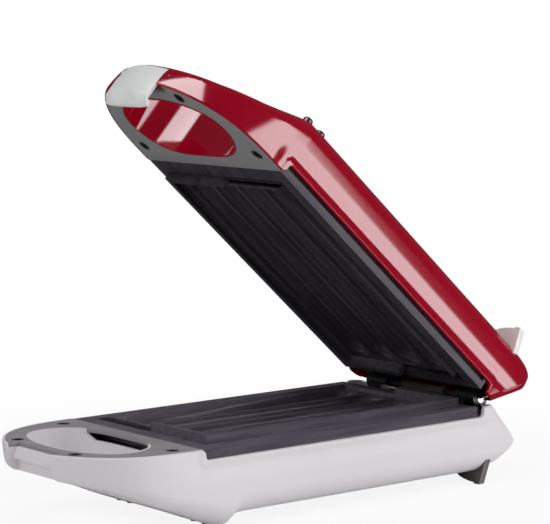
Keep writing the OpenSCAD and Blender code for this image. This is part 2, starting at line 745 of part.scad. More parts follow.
module on_hinge() {
    translate([0, hinge_y, hinge_z]) rotate([0, 90, 0]) children();
}

module base_hinge_brackets() in_base() color([0.12, 0.12, 0.13]) brackets(base_kn);
module base_hinge_screws() in_base() color([0.7, 0.7, 0.72]) bracket_screws(base_kn);
module lid_hinge_brackets() in_lid() color([0.12, 0.12, 0.13]) turned_up() lid_brackets();
module lid_hinge_screws() in_lid() turned_up() color([0.7, 0.7, 0.72]) bracket_screws(lid_kn);

// The lid is turned over, so its knuckles sit on the other side of the parting plane
module lid_brackets() {
    both_sides() difference() {
        union() {
            translate([lid_kn[0], hinge_y, -hinge_z]) rotate([0, 90, 0])
                cylinder(r = knuckle_r, h = lid_kn[1] - lid_kn[0]);
            translate([lid_kn[0], web_y0, -foot_low])
                cube([lid_kn[1] - lid_kn[0], web_y1 - web_y0, foot_low - hinge_z]);
            translate([lid_kn[0], bracket_screw_y - foot_side, -foot_low])
                cube([lid_kn[1] - lid_kn[0], foot_len, foot_t]);
        }
        translate([0, hinge_y, -hinge_z]) rotate([0, 90, 0]) cylinder(r = rod_r + run_gap, h = deep);
        translate([(lid_kn[0] + lid_kn[1]) / 2, bracket_screw_y, -foot_low - 1])
            cylinder(r = screw_r + 0.2, h = foot_t + 2);
    }
}

module hinge_rod() in_base() color([0.72, 0.72, 0.74])
    on_hinge() cylinder(r = rod_r, h = 2 * lid_kn[1] + 1, center = true);

module hinge_spacers() in_base() color([0.3, 0.3, 0.32])
    both_sides() on_hinge() translate([0, 0, spacer_x]) difference() {
        cylinder(r = spacer_r, h = base_kn[0] - spacer_x - run_gap);
        translate([0, 0, -1]) cylinder(r = rod_r + run_gap, h = 20);
    }

module wire_sleeve() in_base() color([0.24, 0.22, 0.18])
    on_hinge() difference() {
        cylinder(r = sleeve_r, h = 2 * spacer_x - 1, center = true);
        cylinder(r = rod_r + run_gap, h = 2 * spacer_x, center = true);
    }

// ---------- lamps ----------

module lens(y) {
    translate([lens_x, y, -lens_top]) {
        rotate_extrude() polygon(concat(
            [[0, 0]], [for (a = [0 : 15 : 90]) [lens_r - 1.2 + 1.2 * sin(a), 1.2 * (1 - cos(a))]],
            [[lens_r, 5.2], [0, 5.2]]
        ));
    }
}

module lamp(y) {
    translate([lens_x, y, -lens_top + 5.5]) {
        cylinder(r = 1.9, h = lamp_len);
        translate([0, 0, lamp_len - eps]) cylinder(r = 1.2, h = 2);
    }
}

module power_lens() in_lid() turned_up() color([0.75, 0.08, 0.08]) lens(lens_ys[0]);
module ready_lens() in_lid() turned_up() color([0.15, 0.55, 0.2]) lens(lens_ys[1]);
module power_lamp() in_lid() turned_up() color([0.95, 0.6, 0.35]) lamp(lens_ys[0]);
module ready_lamp() in_lid() turned_up() color([0.95, 0.75, 0.4]) lamp(lens_ys[1]);

module lamp_holder() in_lid() turned_up() color([0.9, 0.89, 0.85])
    difference() {
        translate([lens_x - 4, lens_ys[0] - 4, -holder_z]) cube([8, lens_ys[1] - lens_ys[0] + 8, 2.6]);
        for (y = lens_ys) translate([lens_x, y, -holder_z - 1]) cylinder(r = 1.2 + run_gap, h = 6);
        translate([lens_x, lens_mid, -holder_z - 1]) cylinder(r = screw_r + 0.15, h = 6);
    }

module lamp_holder_screws() in_lid() turned_up() color([0.7, 0.7, 0.72])
    translate([lens_x, lens_mid, 0]) screw(4.1 * screw_r, -holder_z + 2.6);

// ---------- latch ----------

module latch_pin() in_lid() color([0.72, 0.72, 0.74])
    translate([0, pivot_y, pivot_z]) rotate([0, 90, 0])
        cylinder(r = latch_pin_r, h = clip_w + 7, center = true);

// A prism of the handle's plan, leaned back by the given angle above z
module leaned_plan(lean, z) {
    translate([0, front_y, z]) rotate([-lean, 0, 0]) translate([0, -front_y, -deep])
        linear_extrude(2 * deep) intersection() {
            loop_plan(0, 0);
            translate([-clip_w / 2, front_y - 1]) square([clip_w, -front_y]);
        }
}

// The clip's outer face follows the handle's plan and draft, with a thumb recess at its lower end
module latch_clip() in_lid() color([0.93, 0.94, 0.93])
    difference() {
        intersection() {
            leaned_plan(0, 0);
            leaned_plan(atan(0.7 * side_draft / (0.7 * tip_depth)), 0);
            union() {
                rotate([90, 0, 90]) translate([0, 0, -clip_w / 2]) linear_extrude(clip_w)
                    clip_section();
                translate([0, pivot_y, pivot_z]) rotate([0, 90, 0])
                    cylinder(r = 2.6, h = clip_w, center = true);
            }
        }
        translate([0, pivot_y, pivot_z]) rotate([0, 90, 0])
            cylinder(r = latch_pin_r + run_gap, h = clip_w + 2, center = true);
        translate([0, front_y - thumb_r / cos(thumb_tilt), thumb_z]) rotate([thumb_tilt, 0, 0])
            cylinder(r = thumb_r, h = deep, center = true, $fn = 180);
    }

module clip_section() {
    inner = front_y + clip_t + 1.6;
    tip = front_y + lip_reach;
    polygon(concat(
        [[inner, clip_top]],
        [for (g = [0.8, 0.74, 0.7, 0.1])
            [front_y + inset_at(g, lid_edge_r, -0.1 * side_draft, tip_depth), g * tip_depth]],
        [for (a = [180 : 15 : 270])
            [front_y + clip_curl * (1 + cos(a)), clip_low + clip_curl * (1 + sin(a))]],
        [[tip - 1.2, clip_low], [tip, clip_low + 1.2], [tip, clip_low + 3.4], [inner, clip_low + 4.4]]
    ));
}

// ---------- drawing ----------

base_housing();
base_trim();
base_trim_screws();
lower_plate();
lower_plate_screws();
lower_heater();
lower_reflector();
lower_reflector_screws();
thermostat();
thermal_fuse();
terminal_block();
cord_gland();
front_foot_pads();
rear_feet();
base_hinge_brackets();
base_hinge_screws();
hinge_rod();
hinge_spacers();
wire_sleeve();
lid_housing();
lid_trim();
lid_trim_screws();
upper_plate();
upper_plate_screws();
upper_heater();
upper_reflector();
upper_reflector_screws();
lid_thermal_fuse();
lid_hinge_brackets();
lid_hinge_screws();
lid_rests();
power_lens();
ready_lens();
power_lamp();
ready_lamp();
lamp_holder();
lamp_holder_screws();
latch_pin();
latch_clip();
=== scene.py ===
"""Looks of the churro maker: camera, studio, finishes, and finer meshes for shells, castings and clip."""
import json
import math

import bmesh
import bpy
import numpy as np
from mathutils import Matrix, Vector


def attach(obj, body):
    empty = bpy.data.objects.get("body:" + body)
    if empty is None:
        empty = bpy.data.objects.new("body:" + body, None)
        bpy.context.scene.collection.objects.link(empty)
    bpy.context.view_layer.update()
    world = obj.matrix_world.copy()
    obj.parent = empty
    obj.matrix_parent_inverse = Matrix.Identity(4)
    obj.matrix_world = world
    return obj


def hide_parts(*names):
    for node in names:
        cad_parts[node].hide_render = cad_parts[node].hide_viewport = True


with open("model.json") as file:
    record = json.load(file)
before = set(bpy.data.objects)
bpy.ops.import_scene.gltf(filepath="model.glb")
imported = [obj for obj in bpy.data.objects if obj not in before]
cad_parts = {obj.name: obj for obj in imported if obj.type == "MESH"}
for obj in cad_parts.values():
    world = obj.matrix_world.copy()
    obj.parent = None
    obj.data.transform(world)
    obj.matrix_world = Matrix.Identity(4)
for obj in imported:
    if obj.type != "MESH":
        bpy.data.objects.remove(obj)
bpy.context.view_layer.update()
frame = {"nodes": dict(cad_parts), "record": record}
MM = 0.001

# ---------- camera, solved from the photograph ----------

CAM_AZIMUTH = 51.581
CAM_ELEVATION = 6.417
CAM_ROLL = -0.371
CAM_DISTANCE = 1.19959
CAM_SIDE = 0.025708
CAM_RISE = 0.079728
CAM_TARGET = Vector((0, -0.023637, 0.0412))
FOCAL_PX = 2379.7
IMAGE_W = 550
SENSOR_MM = 36
CAM_CLIP_END = 20


def make_camera():
    az, el, roll = (math.radians(v) for v in (CAM_AZIMUTH, CAM_ELEVATION, CAM_ROLL))
    back = Vector((math.sin(az) * math.cos(el), -math.cos(az) * math.cos(el), math.sin(el)))
    right = Vector((0, 0, 1)).cross(back).normalized()
    up = back.cross(right)
    tilted_right = right * math.cos(roll) + up * math.sin(roll)
    tilted_up = up * math.cos(roll) - right * math.sin(roll)
    place = CAM_TARGET + CAM_SIDE * tilted_right + CAM_RISE * tilted_up + CAM_DISTANCE * back
    data = bpy.data.cameras.new("camera")
    data.sensor_width = SENSOR_MM
    data.sensor_fit = "HORIZONTAL"
    data.lens = FOCAL_PX * SENSOR_MM / IMAGE_W
    data.clip_end = CAM_CLIP_END
    camera = bpy.data.objects.new("camera", data)
    turn = Matrix((tilted_right, tilted_up, back)).transposed().to_4x4()
    camera.matrix_world = Matrix.Translation(place) @ turn
    bpy.context.scene.collection.objects.link(camera)
    bpy.context.scene.camera = camera


# ---------- materials ----------

RAMP_LOW, RAMP_HIGH = 0.32, 0.68


class Finish:
    """A node material around one Principled shader. Noise scales are per metre, bump heights in metres."""

    def __init__(self, name, color, roughness, **sockets):
        self.material = bpy.data.materials.new(name)
        self.material.use_nodes = True
        self.nodes = self.material.node_tree.nodes
        self.links = self.material.node_tree.links
        self.shader = self.nodes["Principled BSDF"]
        self.shader.inputs["Base Color"].default_value = (*color, 1)
        self.shader.inputs["Roughness"].default_value = roughness
        for socket, value in sockets.items():
            self.shader.inputs[socket.replace("_", " ")].default_value = value
        self.place = self.nodes.new("ShaderNodeTexCoord").outputs["Object"]
        self.normal = None

    def lean(self, angle):
        """Turns the texture about X, so that its Y runs along a leaning body."""
        turn = self.nodes.new("ShaderNodeMapping")
        turn.inputs["Rotation"].default_value = (angle, 0, 0)
        self.links.new(self.place, turn.inputs["Vector"])
        self.place = turn.outputs["Vector"]
        return self

    def noise(self, scale, detail=3.0, stretch=None):
        place = self.place
        if stretch:
            mapping = self.nodes.new("ShaderNodeMapping")
            mapping.inputs["Scale"].default_value = stretch
            self.links.new(place, mapping.inputs["Vector"])
            place = mapping.outputs["Vector"]
        node = self.nodes.new("ShaderNodeTexNoise")
        node.inputs["Scale"].default_value = scale
        node.inputs["Detail"].default_value = detail
        self.links.new(place, node.inputs["Vector"])
        return node.outputs["Fac"]

    def spread(self, value, low, high):
        node = self.nodes.new("ShaderNodeMapRange")
        node.inputs["To Min"].default_value = low
        node.inputs["To Max"].default_value = high
        self.links.new(value, node.inputs["Value"])
        return node.outputs["Result"]

    def vary_roughness(self, scale, low, high, detail=3.0, stretch=None):
        value = self.spread(self.noise(scale, detail, stretch), low, high)
        self.links.new(value, self.shader.inputs["Roughness"])
        return self

    def vary_color(self, scale, first, second, detail=3.0, stretch=None):
        ramp = self.nodes.new("ShaderNodeValToRGB")
        for stop, place, color in zip(ramp.color_ramp.elements, (RAMP_LOW, RAMP_HIGH), (first, second)):
            stop.position = place
            stop.color = (*color, 1)
        self.links.new(self.noise(scale, detail, stretch), ramp.inputs["Fac"])
        self.links.new(ramp.outputs["Color"], self.shader.inputs["Base Color"])
        return self

    def bump(self, scale, height, strength=1.0, detail=2.0, stretch=None):
        node = self.nodes.new("ShaderNodeBump")
        node.inputs["Distance"].default_value = height
        node.inputs["Strength"].default_value = strength
        self.links.new(self.noise(scale, detail, stretch), node.inputs["Height"])
        if self.normal:
            self.links.new(self.normal, node.inputs["Normal"])
        self.normal = node.outputs["Normal"]
        self.links.new(self.normal, self.shader.inputs["Normal"])
        return self


def make_finishes():
    """Every finish, under the material slot or the node that it is for."""
    red = Finish("red_shell", (0.32, 0.0002, 0.014), 0.1, Specular_IOR_Level=0.55)
    red.vary_color(14, (0.30, 0.0001, 0.012), (0.34, 0.0003, 0.016))
    red.vary_roughness(900, 0.08, 0.12).bump(160, 0.00002, 0.4)
    light = Finish("pale_shell", (0.78, 0.75, 0.775), 0.45, Specular_IOR_Level=0.2)
    light.vary_color(12, (0.77, 0.74, 0.765), (0.79, 0.76, 0.785))
    light.vary_roughness(700, 0.4, 0.5).bump(2600, 0.00003, 0.3)
    trim = Finish("grey_trim", (0.285, 0.27, 0.29), 0.55, Specular_IOR_Level=0.25)
    trim.vary_roughness(900, 0.5, 0.6).bump(3200, 0.00003, 0.5)
    lid_trim = Finish("lid_trim", (0.235, 0.232, 0.232), 0.6, Specular_IOR_Level=0.2)
    lid_trim.vary_roughness(900, 0.55, 0.65).bump(3200, 0.00003, 0.5)
    coat = Finish("dark_coating", (0.10, 0.087, 0.113), 0.38, Specular_IOR_Level=0.5)
    coat.vary_color(420, (0.078, 0.067, 0.090), (0.140, 0.121, 0.156), detail=6, stretch=(1, 0.08, 1))
    coat.vary_roughness(300, 0.28, 0.48, detail=5, stretch=(1, 0.1, 1))
    coat.bump(500, 0.00012, 0.7, detail=5, stretch=(1, 0.1, 1))
    # Painted shade: the upper casting has the same coating as the lower one, but this darker copy stands in
    # for the shade it lies in under the open lid
    shaded_lid_coat = Finish("lid_coating_painted_shade", (0.045, 0.040, 0.049), 0.5, Specular_IOR_Level=0.25)
    shaded_lid_coat.lean(math.radians(OPEN_ANGLE))
    shaded_lid_coat.vary_color(420, (0.030, 0.026, 0.033), (0.064, 0.057, 0.068), detail=6, stretch=(1, 0.05, 1))
    shaded_lid_coat.vary_roughness(240, 0.42, 0.58, detail=5, stretch=(1, 0.1, 1))
    shaded_lid_coat.bump(420, 0.00005, 0.5, detail=5, stretch=(1, 0.05, 1))
    steel = Finish("plain_steel", (0.55, 0.55, 0.57), 0.25, Metallic=1.0)
    steel.vary_roughness(400, 0.2, 0.34, stretch=(1, 12, 12))
    zinc = Finish("zinc_screw", (0.5, 0.5, 0.5), 0.32, Metallic=1.0)
    zinc.vary_roughness(900, 0.26, 0.4)
    dark_screw = Finish("dark_screw", (0.012, 0.012, 0.013), 0.3, Metallic=0.3)
    dark_screw.vary_roughness(900, 0.24, 0.36)
    sheath = Finish("heater_sheath", (0.3, 0.26, 0.24), 0.42, Metallic=1.0)
    sheath.vary_color(90, (0.24, 0.2, 0.18), (0.36, 0.32, 0.3))
    sheet = Finish("bright_sheet", (0.7, 0.71, 0.73), 0.28, Metallic=1.0)
    sheet.vary_roughness(60, 0.22, 0.36, stretch=(1, 20, 1))
    ceramic = Finish("ceramic", (0.72, 0.68, 0.58), 0.6)
    ceramic.vary_roughness(500, 0.55, 0.68).bump(1200, 0.00003, 0.5)
    enamel = Finish("black_enamel", (0.010, 0.010, 0.012), 0.3, Specular_IOR_Level=0.4)
    enamel.vary_roughness(300, 0.26, 0.38).bump(700, 0.00004, 0.5)
    foot = Finish("grey_foot", (0.105, 0.098, 0.094), 0.5, Specular_IOR_Level=0.3)
    foot.vary_roughness(700, 0.44, 0.56).bump(2400, 0.00003, 0.4)
    white = Finish("white_latch", (0.83, 0.835, 0.83), 0.3, Specular_IOR_Level=0.4)
    white.vary_color(20, (0.81, 0.815, 0.81), (0.85, 0.855, 0.85)).vary_roughness(600, 0.26, 0.36)
    rubber = Finish("black_rubber", (0.02, 0.02, 0.02), 0.8)
    rubber.vary_roughness(600, 0.72, 0.86).bump(1800, 0.00005, 0.5)
    lens_red = Finish("red_lens", (0.05, 0.012, 0.016), 0.3, Transmission_Weight=0.1)
    lens_red.vary_roughness(300, 0.26, 0.34)
    lens_green = Finish("green_lens", (0.035, 0.03, 0.03), 0.3, Transmission_Weight=0.1)
    lens_green.vary_roughness(300, 0.26, 0.34)
    glass = Finish("lamp_glass", (0.9, 0.66, 0.42), 0.08, Transmission_Weight=0.7)
    glass.vary_roughness(200, 0.06, 0.12)
    board = Finish("cream_board", (0.7, 0.64, 0.5), 0.6)
    board.vary_color(300, (0.66, 0.6, 0.46), (0.74, 0.68, 0.54))
    sleeve = Finish("dark_sleeve", (0.05, 0.044, 0.036), 0.85)
    sleeve.bump(1500, 0.0001, 0.8, stretch=(1, 3, 3))
    return {
        "shell_light": light, "shell_red": red, "trim_grey": trim, "coated_casting": coat,
        "zinc_screw": zinc, "dark_screw": dark_screw, "heater_sheath": sheath, "bright_sheet": sheet,
        "ceramic": ceramic, "hinge_black": enamel, "plain_steel": steel, "foot_grey": foot,
        "latch_white": white, "black_rubber": rubber, "lens_red": lens_red, "lens_green": lens_green,
        "lamp_glass": glass, "board_cream": board, "sleeve_dark": sleeve, "lid_trim": lid_trim,
        # the upper plate takes the darker copy of the casting coating, which is painted shade
        "upper_plate": shaded_lid_coat,
    }


def dress_nodes(finishes):
    """Gives each CAD node its finish, by its own name where it has one and else by its slot."""
    for part in frame["record"]["subparts"]:
        name = part["node"]
        finish = finishes.get(name) or finishes[part["material_slot"]]
        node = frame["nodes"][name]
        for slot in node.material_slots:
            slot.material = finish.material
        if not node.material_slots:
            node.data.materials.append(finish.material)


# ---------- studio ----------

FILL_COLOR, FILL_LIGHT = (0.95, 0.955, 0.97), 0.34
STUDIO_MIDDLE = (0, 0, 0.1)
# Softboxes: name, place, width and height in metres, power in watts
SOFTBOXES = [
    ("side", (1.7, 1.3, 0.8), 2.0, 1.6, 22),
    ("front", (-0.3, -1.9, 1.2), 1.6, 1.2, 8),
    ("top", (0, 0, 2.2), 2.0, 2.0, 16),
]
# Floor: half its size and where it turns white in metres, and how white the near part is to the camera
FLOOR_HALF = 6.0
FLOOR_FADE = (0.16, 0.4)
FLOOR_GLOW = 0.88
# What glossy surfaces see: a dark room with windows, each with its azimuth from and to, elevation from
# and to and softness in degrees, and its strength
ROOM_COLOR, DARK_ROOM = (1, 0.985, 0.99), 0.06
WINDOWS = [
    (0, 44.5, -15, 14, 2.0, 8.5),
    (0, 60, -36, -16, 3, 2.5),
    (-140, -40, 52, 92, 3, 11.0),
    (-122, -80, -8, 30, 5, 1.6),
]


class Graph:
    """Arithmetic on node sockets."""

    def __init__(self, tree):
        self.nodes, self.links = tree.nodes, tree.links

    def math(self, operation, *values):
        node = self.nodes.new("ShaderNodeMath")
        node.operation = operation
        for socket, value in zip(node.inputs, values):
            if isinstance(value, (int, float)):
                socket.default_value = value
            else:
                self.links.new(value, socket)
        return node.outputs[0]

    def fade(self, value, start, end):
        node = self.nodes.new("ShaderNodeMapRange")
        node.interpolation_type = "SMOOTHSTEP"
        node.inputs["From Min"].default_value = start
        node.inputs["From Max"].default_value = end
        self.links.new(value, node.inputs["Value"])
        return node.outputs["Result"]

    def between(self, value, low, high, soft):
        rise = self.fade(value, low - soft, low + soft)
        fall = self.fade(value, high + soft, high - soft)
        return self.math("MULTIPLY", rise, fall)

    def mix(self, factor, first, second):
        node = self.nodes.new("ShaderNodeMixShader")
        self.links.new(factor, node.inputs["Fac"])
        self.links.new(first, node.inputs[1])
        self.links.new(second, node.inputs[2])
        return node.outputs["Shader"]

    def background(self, color, strength):
        node = self.nodes.new("ShaderNodeBackground")
        node.inputs["Color"].default_value = (*color, 1)
        if isinstance(strength, (int, float)):
            node.inputs["Strength"].default_value = strength
        else:
            self.links.new(strength, node.inputs["Strength"])
        return node.outputs["Background"]


def softbox(name, place, width, height, power):
    """A rectangular lamp that faces the object and that glossy surfaces don't see."""
    data = bpy.data.lights.new(name, "AREA")
    data.shape = "RECTANGLE"
    data.size, data.size_y = width, height
    data.energy = power
    lamp = bpy.data.objects.new(name, data)
    lamp.visible_glossy = False
    way = Vector(STUDIO_MIDDLE) - Vector(place)
    lamp.matrix_world = Matrix.Translation(place) @ way.to_track_quat("-Z", "Y").to_matrix().to_4x4()
    bpy.context.scene.collection.objects.link(lamp)


def make_world():
    """White to the camera, soft fill to matt surfaces, and a dark room with windows to glossy ones."""
    world = bpy.data.worlds.new("studio")
    world.use_nodes = True
    bpy.context.scene.world = world
    graph = Graph(world.node_tree)
    graph.nodes.remove(graph.nodes["Background"])
    split = graph.nodes.new("ShaderNodeSeparateXYZ")
    graph.links.new(graph.nodes.new("ShaderNodeTexCoord").outputs["Generated"], split.inputs[0])
    degree = 180 / math.pi
    turn = graph.math("MULTIPLY", graph.math("ARCTAN2", split.outputs["Y"], split.outputs["X"]), degree)
    rise = graph.math("MULTIPLY", graph.math("ARCSINE", split.outputs["Z"]), degree)
    level = None
    for az0, az1, el0, el1, soft, strength in WINDOWS:
        box = graph.math("MULTIPLY", graph.between(turn, az0, az1, soft), graph.between(rise, el0, el1, soft))
        level = graph.math("MULTIPLY_ADD", box, strength, DARK_ROOM if level is None else level)
    rays = graph.nodes.new("ShaderNodeLightPath").outputs
    fill = graph.background(FILL_COLOR, FILL_LIGHT)
    room = graph.background(ROOM_COLOR, level)
    seen = graph.background((1, 1, 1), 1.0)
    shader = graph.mix(rays["Is Glossy Ray"], fill, room)
    shader = graph.mix(rays["Is Camera Ray"], shader, seen)
    graph.links.new(shader, graph.nodes["World Output"].inputs["Surface"])


def make_floor():
    """A pale floor that turns white further out, and that glossy surfaces see through."""
    mesh = bpy.data.meshes.new("floor")
    corners = [(x * FLOOR_HALF, y * FLOOR_HALF, 0) for x, y in ((-1, -1), (1, -1), (1, 1), (-1, 1))]
    mesh.from_pydata(corners, [], [(0, 1, 2, 3)])
    floor = bpy.data.objects.new("floor", mesh)
    bpy.context.scene.collection.objects.link(floor)
    paper = Finish("white_paper", (0.93, 0.93, 0.93), 0.9, Specular_IOR_Level=0)
    paper.vary_roughness(30, 0.85, 0.95)
    graph = Graph(paper.material.node_tree)
    distance = graph.nodes.new("ShaderNodeVectorMath")
    distance.operation = "LENGTH"
    graph.links.new(paper.place, distance.inputs[0])
    rays = graph.nodes.new("ShaderNodeLightPath").outputs
    glow = graph.nodes.new("ShaderNodeEmission")
    clear = graph.nodes.new("ShaderNodeBsdfTransparent")
    away = graph.fade(distance.outputs["Value"], *FLOOR_FADE)
    far = graph.math("MULTIPLY_ADD", away, 1 - FLOOR_GLOW, FLOOR_GLOW)
    far = graph.math("MULTIPLY", far, rays["Is Camera Ray"])
    shader = graph.mix(far, paper.shader.outputs["BSDF"], glow.outputs["Emission"])
    shader = graph.mix(rays["Is Glossy Ray"], shader, clear.outputs["BSDF"])
    graph.links.new(shader, graph.nodes["Material Output"].inputs["Surface"])
    mesh.materials.append(paper.material)


def make_studio():
    bpy.context.scene.view_settings.view_transform = "Standard"
    make_world()
    make_floor()
    for box in SOFTBOXES:
        softbox(*box)


# ---------- sizes in working millimetres ----------
# Both shells are worked out with the parting plane at z = 0, the shell below it and the handle loop
# towards -Y, and are then placed. Levels run from 0 at the rim to 1 at the far face.

# Outline of a shell: half width, reach of the loop, wall, draft, rear end and its corner
HALF_W = 56.3
REACH = 66.3
LOOP_X, LOOP_Y = 2 / 1.8, 2 / 3
WALL = 2.2
DRAFT = 2.0
EDGE_SHARE = 0.7
FULL_DEPTH = 35.5
REAR_RIM = 190.0
REAR_BULGE = 16.7
REAR_CORNER = 7.0
BASE_EDGE_R, LID_EDGE_R = 10.0, 13.0
LID_CROWN, CROWN_Y = 1.2, (-4, 20, 168, 188)
LID_INSET = 0.25
CORE_TOP = -2

# Rim: its level, the dip beside the castings and the soft groove round it
RIM_Z = 0.2
RIM_R = 0.8
DIP = 5.6
DIP_FROM, DIP_TO = 0.8, 180.8
DIP_CORNER = 2.6
GROOVE = 0.6
GROOVE_IN, GROOVE_OUT = (0.9, 4.4), (4.6, 12)

# Places: hinge line, middle of the part's length, height of the parting plane, angle at rest
HINGE_Y, HINGE_Z = 190.4, 1.4
MID_Y, STAND_Z = 77.637, 41.2
OPEN_ANGLE = 42.3

# Ways cut along the hinge line, for its knuckles and for the lid's wires
SCALLOP_R, SCALLOP_X = 5.7, (26.4, 44)
WIRE_WAY_R, WIRE_WAY_X = 3.5, 26.8

# Finger hole, trim bed, casting bed and the general fit
HOLE_W, HOLE_FRONT, HOLE_REAR, HOLE_Y = 38.3, 22.2, 19.6, 28.2
HOLE_POWERS = (2 / 3.6, 2 / 1.7, 2 / 2.4)
HOLE_LIP, HOLE_WALL = 1.0, 1.6
TRIM_IN, TRIM_LOW = 1.3, 2.3
PLATE_W, PLATE_L = 108.0, 178.0
SKIRT = 6.9
FIT = 0.3

# Slot behind the base's finger hole, leaned feet, nose, lenses and cord gland
SLOT_X, SLOT_H = 27.0, 3.4
FIN_Y, FIN_T, FIN_TOP, FIN_UP = 180.9, 3.5, 24.0, math.radians(69)
FIN_X0, FIN_X1 = 34.0, 54.0
FIN_RISE, FIN_SOLE = 5, 4
NOSE_X, NOSE_END = 21.2, -53.5
LENSES, LENS_R = [(43.5, 3.2), (43.5, 13.4)], 2.65
GLAND_Y, GLAND_Z, GLAND_R, GLAND_UP = 199.95, 27.2, 6.45, math.radians(46)
# Gap between the base's moulded front feet, and the solid left round it in the core
FOOT_GAP = ((-22, -1, -60), (22, 41, -FULL_DEPTH))
FOOT_BRIDGE = ((-24.2, -3.2, -60), (24.2, 43.2, -33.3))

# Latch clip: width, pin, catch on the base, and the clip's own form
CLIP_W = 34.0
PIVOT = (-60.6, 6.5)
PIN_R, BARREL_R = 1.3, 2.6
CATCH_Y, CATCH_Z = -59.0, 7.9
CLIP_TOP, CLIP_LOW, CLIP_CURL = 10.4, -12.5, 5.0
CLIP_BACK, CLIP_TIP = 4.4, 7.0
CLIP_INSET, CLIP_CORNER, CLIP_DEEPEST = 0.2, 0.12, 5.5
THUMB_TOP, THUMB_TILT, THUMB_R, THUMB_SOFT = -3.5, math.radians(23), 37.5, 0.5
NOTCH_LOW, NOTCH_BACK = -11.7, 3.4

# Castings: cavity, channels, the low wall inside the groove, the square channel ends on the raised wall's
# side and behind the low wall, and the gap beside the lid's skirt
CAV_X, CAV_Y0, CAV_Y1 = 42.6, 12.0, 168.5
PITCH, CHANNEL_R, CHANNEL_DEPTH, RIDGE_DROP = 21.3, 10.3, 10.2, 1.5
FLUTES, FLUTE_RISE = 5, 0.09
LOW_WALL_UP, LOW_WALL_DOWN, LOW_WALL_GAP = 1.0, -6, 0.4
LOW_WALL_T, LOW_WALL_SIDE_T, LOW_WALL_END = 1.6, 1.2, -0.3
CHANNEL_END, CHANNEL_END_LOW, CHANNEL_END_FIT = 0.3, 2.2, 0.998
SKIRT_GAP = (51.8, 55, 1.2, 176, -8, -4.0)

# Depth of each shell along Y, and how far its rear bulges at each level
TIP_DEPTH = 13
BASE_LINE = [(-REACH, TIP_DEPTH), (-50, 16.5), (-37, 21.4), (-25, 26.6), (-4, 34), (13, 40.7),
             (18, 40.7), (22, 36.2), (28, 35.5), (300, 35.5)]
LID_LINE = [(-REACH, TIP_DEPTH), (-50, 16), (-37, 19.6), (-28, 22.2), (-18, 26), (-4, 31.6), (3, 34),
            (300, 34)]
BASE_REAR = [(0, 0), (0.54, 0.95), (0.6, 1), (0.68, 0.86), (0.85, 0.35), (0.92, 0.02), (1, -0.35)]
LID_REAR = [(0, 0), (0.54, 0.87), (0.6, 0.91), (0.77, 0.89), (0.85, 0.78), (0.92, 0.52), (1, -0.05)]


def to_base(points):
    """Working millimetres to the row's metres, for what stands in the lower shell."""
    return (np.asarray(points, float) + (0, -MID_Y, STAND_Z)) * MM


def to_lid(points):
    """The same for the lid: turned over, then swung open about the hinge line."""
    p = np.array(points, float)
    y, z = p[:, 1] - HINGE_Y, -p[:, 2] - HINGE_Z
    c, s = math.cos(math.radians(OPEN_ANGLE)), math.sin(math.radians(OPEN_ANGLE))
    p[:, 1] = HINGE_Y + c * y + s * z - MID_Y
    p[:, 2] = HINGE_Z - s * y + c * z + STAND_Z
    return p * MM


def softened(knots, reach):
    """A lookup along the knots whose corners are rounded over the reach."""
    xs, ys = np.array(knots, float).T
    grid = np.arange(xs[0] - 2 * reach, min(xs[-1], 260) + 2 * reach, reach / 16)
    dense = np.interp(grid, xs, ys)
    kernel = np.hanning(19)[1:-1]
    soft = np.convolve(np.pad(dense, 8, "edge"), kernel / kernel.sum(), "valid")
    return lambda v: np.interp(v, grid, soft)


def side_rim(y):
    """How far the rim lies below the parting plane at y, with the dip beside the castings."""
    r, full = DIP_CORNER, DIP - RIM_Z
    run = min(y - DIP_FROM, DIP_TO - y)
    if run < 0:
        return RIM_Z + r - math.sqrt(r * r - min(max(run + r, 0), r) ** 2)
    if run < r:
        return RIM_Z + full - r + math.sqrt(r * r - (r - run) ** 2)
    return RIM_Z + full


def smooth(value, start, end):
    share = np.clip((value - start) / (end - start), 0, 1)
    return share * share * (3 - 2 * share)


def groove(y, z):
    """Depth of the soft groove that runs round the dip, at height z below the parting plane."""
    away = np.hypot(np.maximum(np.maximum(DIP_FROM - y, y - DIP_TO), 0), np.maximum(z - DIP, 0))
    return GROOVE * smooth(away, *GROOVE_IN) * (1 - smooth(away, *GROOVE_OUT))


def loop_point(t, inset=0.0):
    """x and y of the handle loop, for t from 0 at its tip to a quarter turn at its side."""
    return math.sin(t) ** LOOP_X * (HALF_W - inset), -max(math.cos(t), 0) ** LOOP_Y * (REACH - inset)


def perimeter():
    """Columns of half the outline: ('loop', angle), ('side', y) and ('corner', angle).

    They stand closer where the rim dips.
    """
    t = np.linspace(0, math.pi / 2, 4000)
    x = HALF_W * np.sin(t) ** LOOP_X
    y = -REACH * np.cos(t) ** LOOP_Y
    length = np.concatenate([[0], np.cumsum(np.hypot(np.diff(x), np.diff(y)))])
    loop = np.interp(np.linspace(0, length[-1], 80), length, t)
    near_dip = np.arccos((-np.linspace(-13, -0.05, 36) / REACH) ** (1 / LOOP_Y))
    loop = np.unique(np.round(np.concatenate([loop, near_dip]), 6))
    side = np.concatenate([np.linspace(*part) for part in (
        (0.15, 3.4, 26), (4, 30, 16), (34, 172, 26), (174, 178, 3), (178.5, 182.95, 26))])
    corner = np.linspace(0, math.pi / 2, 26)
    parts = (("loop", loop), ("side", side), ("corner", corner))
    return [(kind, value) for kind, values in parts for value in values]


